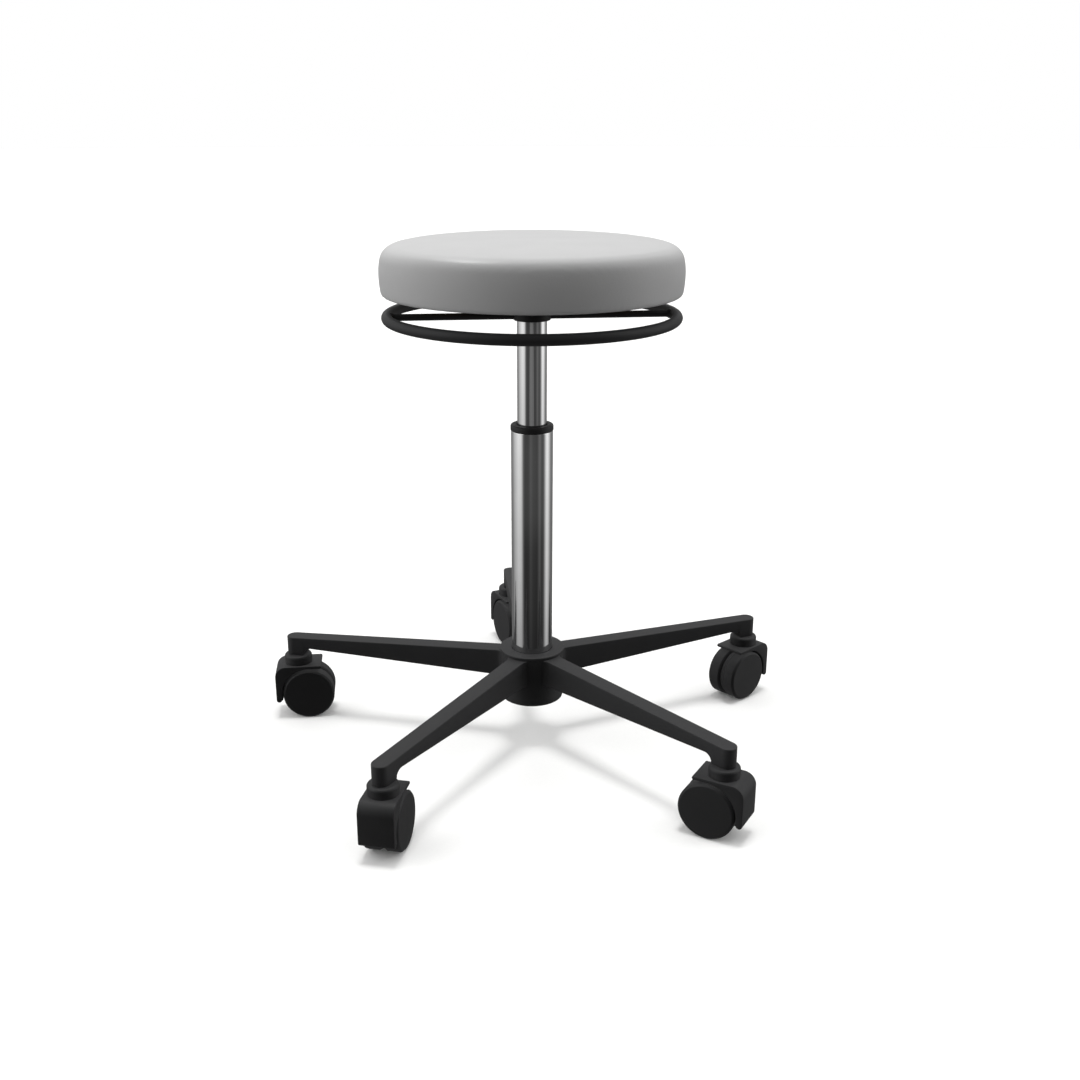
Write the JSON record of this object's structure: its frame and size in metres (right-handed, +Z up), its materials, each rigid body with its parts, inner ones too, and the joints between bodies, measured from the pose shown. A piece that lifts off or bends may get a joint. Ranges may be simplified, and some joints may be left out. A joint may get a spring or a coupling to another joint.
{
  "type": "medical stool",
  "caption": "Round padded medical stool on a chromed gas-spring column and a slim black star base with twin-wheel hooded castors, raised and lowered with a release ring under the seat.",
  "frame": {"origin": "on the floor, under the column's axis", "axes": "+Z up along the column; +Y along the arm that points to the back; the release ring's spokes lie along X"},
  "size_m": [0.664, 0.638, 0.6182],
  "materials": {
    "vinyl": "satin",
    "plywood": "matte",
    "chrome": "polished",
    "black_coat": "matte",
    "black_steel": "satin",
    "black_nylon": "matte",
    "rubber": "matte",
    "zinc": "satin",
    "steel": "satin"
  },
  "bodies": {
    "base": {"star_base": "black_coat", "hub_cover": "black_coat", "column_tube": "chrome", "guide_sleeve": "black_nylon", "column_cap": "black_nylon", "bearing_lower_race": "steel", "bearing_cage": "steel"},
    "rod": {"piston_rod": "steel", "piston": "black_nylon", "bearing_upper_race": "steel", "rod_buffer": "rubber", "rod_washer": "zinc", "rod_clip": "steel"},
    "seat": {"gas_cylinder": "chrome", "cylinder_seal": "black_nylon", "seat_plate": "black_steel", "seat_screw_1": "zinc", "seat_screw_2": "zinc", "seat_screw_3": "zinc", "seat_screw_4": "zinc", "seat_board": "plywood", "seat_cushion": "vinyl", "rocker_pin_front": "zinc", "rocker_pin_back": "zinc"},
    "release": {"release_ring": "black_steel", "release_spoke_left": "black_steel", "release_spoke_right": "black_steel", "release_collar": "black_nylon"},
    "rocker_front": {"rocker_front": "zinc"},
    "rocker_back": {"rocker_back": "zinc"},
    "valve": {"valve_button": "zinc"},
    "castor_1": {"castor_1_hood": "black_nylon", "castor_1_stem": "zinc", "castor_1_axle": "zinc"},
    "castor_1_wheel_left": {"castor_1_wheel_left": "black_nylon"},
    "castor_1_wheel_right": {"castor_1_wheel_right": "black_nylon"},
    "castor_2": {"castor_2_hood": "black_nylon", "castor_2_stem": "zinc", "castor_2_axle": "zinc"},
    "castor_2_wheel_left": {"castor_2_wheel_left": "black_nylon"},
    "castor_2_wheel_right": {"castor_2_wheel_right": "black_nylon"},
    "castor_3": {"castor_3_hood": "black_nylon", "castor_3_stem": "zinc", "castor_3_axle": "zinc"},
    "castor_3_wheel_left": {"castor_3_wheel_left": "black_nylon"},
    "castor_3_wheel_right": {"castor_3_wheel_right": "black_nylon"},
    "castor_4": {"castor_4_hood": "black_nylon", "castor_4_stem": "zinc", "castor_4_axle": "zinc"},
    "castor_4_wheel_left": {"castor_4_wheel_left": "black_nylon"},
    "castor_4_wheel_right": {"castor_4_wheel_right": "black_nylon"},
    "castor_5": {"castor_5_hood": "black_nylon", "castor_5_stem": "zinc", "castor_5_axle": "zinc"},
    "castor_5_wheel_left": {"castor_5_wheel_left": "black_nylon"},
    "castor_5_wheel_right": {"castor_5_wheel_right": "black_nylon"}
  },
  "joints": [
    {"name": "seat_swivel", "type": "hinge", "parent": "base", "child": "rod", "pos_m": [0, 0, 0.07481], "axis": [0, 0, 1], "continuous": true},
    {"name": "seat_height", "type": "slide", "parent": "rod", "child": "seat", "axis": [0, 0, 1], "range_m": [-0.11, 0.09]},
    {"name": "release_lift", "type": "slide", "parent": "seat", "child": "release", "axis": [0, 0, 1], "range_m": [0, 0.0032], "stiffness_N_per_m": 2500},
    {"name": "rocker_front_tilt", "type": "hinge", "parent": "seat", "child": "rocker_front", "pos_m": [0, -0.013, 0.56871], "axis": [1, 0, 0], "range_deg": [-12.5, 0]},
    {"name": "rocker_back_tilt", "type": "hinge", "parent": "seat", "child": "rocker_back", "pos_m": [0, 0.013, 0.56871], "axis": [1, 0, 0], "range_deg": [0, 12.5]},
    {"name": "valve_press", "type": "slide", "parent": "seat", "child": "valve", "axis": [0, 0, 1], "range_m": [-0.0026, 0]},
    {"name": "castor_1_swivel", "type": "hinge", "parent": "base", "child": "castor_1", "pos_m": [0, 0.314, 0.08471], "axis": [0, 0, 1], "continuous": true},
    {"name": "castor_1_roll_left", "type": "hinge", "parent": "castor_1", "child": "castor_1_wheel_left", "pos_m": [0.00386, 0.30253, 0.03321], "axis": [-0.9478, -0.319, 0], "continuous": true},
    {"name": "castor_1_roll_right", "type": "hinge", "parent": "castor_1", "child": "castor_1_wheel_right", "pos_m": [0.00386, 0.30253, 0.03321], "axis": [-0.9478, -0.319, 0], "continuous": true},
    {"name": "castor_2_swivel", "type": "hinge", "parent": "base", "child": "castor_2", "pos_m": [-0.29863, 0.09703, 0.08471], "axis": [0, 0, 1], "continuous": true},
    {"name": "castor_2_roll_left", "type": "hinge", "parent": "castor_2", "child": "castor_2_wheel_left", "pos_m": [-0.28653, 0.09716, 0.03321], "axis": [0.0105, -0.9999, 0], "continuous": true},
    {"name": "castor_2_roll_right", "type": "hinge", "parent": "castor_2", "child": "castor_2_wheel_right", "pos_m": [-0.28653, 0.09716, 0.03321], "axis": [0.0105, -0.9999, 0], "continuous": true},
    {"name": "castor_3_swivel", "type": "hinge", "parent": "base", "child": "castor_3", "pos_m": [-0.18457, -0.25403, 0.08471], "axis": [0, 0, 1], "continuous": true},
    {"name": "castor_3_roll_left", "type": "hinge", "parent": "castor_3", "child": "castor_3_wheel_left", "pos_m": [-0.18095, -0.24249, 0.03321], "axis": [0.9542, -0.299, 0], "continuous": true},
    {"name": "castor_3_roll_right", "type": "hinge", "parent": "castor_3", "child": "castor_3_wheel_right", "pos_m": [-0.18095, -0.24249, 0.03321], "axis": [0.9542, -0.299, 0], "continuous": true},
    {"name": "castor_4_swivel", "type": "hinge", "parent": "base", "child": "castor_4", "pos_m": [0.18457, -0.25403, 0.08471], "axis": [0, 0, 1], "continuous": true},
    {"name": "castor_4_roll_left", "type": "hinge", "parent": "castor_4", "child": "castor_4_wheel_left", "pos_m": [0.1747, -0.24702, 0.03321], "axis": [0.5793, 0.8151, 0], "continuous": true},
    {"name": "castor_4_roll_right", "type": "hinge", "parent": "castor_4", "child": "castor_4_wheel_right", "pos_m": [0.1747, -0.24702, 0.03321], "axis": [0.5793, 0.8151, 0], "continuous": true},
    {"name": "castor_5_swivel", "type": "hinge", "parent": "base", "child": "castor_5", "pos_m": [0.29863, 0.09703, 0.08471], "axis": [0, 0, 1], "continuous": true},
    {"name": "castor_5_roll_left", "type": "hinge", "parent": "castor_5", "child": "castor_5_wheel_left", "pos_m": [0.28892, 0.08982, 0.03321], "axis": [-0.5962, 0.8028, 0], "continuous": true},
    {"name": "castor_5_roll_right", "type": "hinge", "parent": "castor_5", "child": "castor_5_wheel_right", "pos_m": [0.28892, 0.08982, 0.03321], "axis": [-0.5962, 0.8028, 0], "continuous": true}
  ],
  "couplings": [
    {"joint": "rocker_front_tilt", "follows": "release_lift", "rad_per_m": -62.5},
    {"joint": "rocker_back_tilt", "follows": "release_lift", "rad_per_m": 62.5},
    {"joint": "valve_press", "follows": "release_lift", "ratio": -0.77}
  ]
}
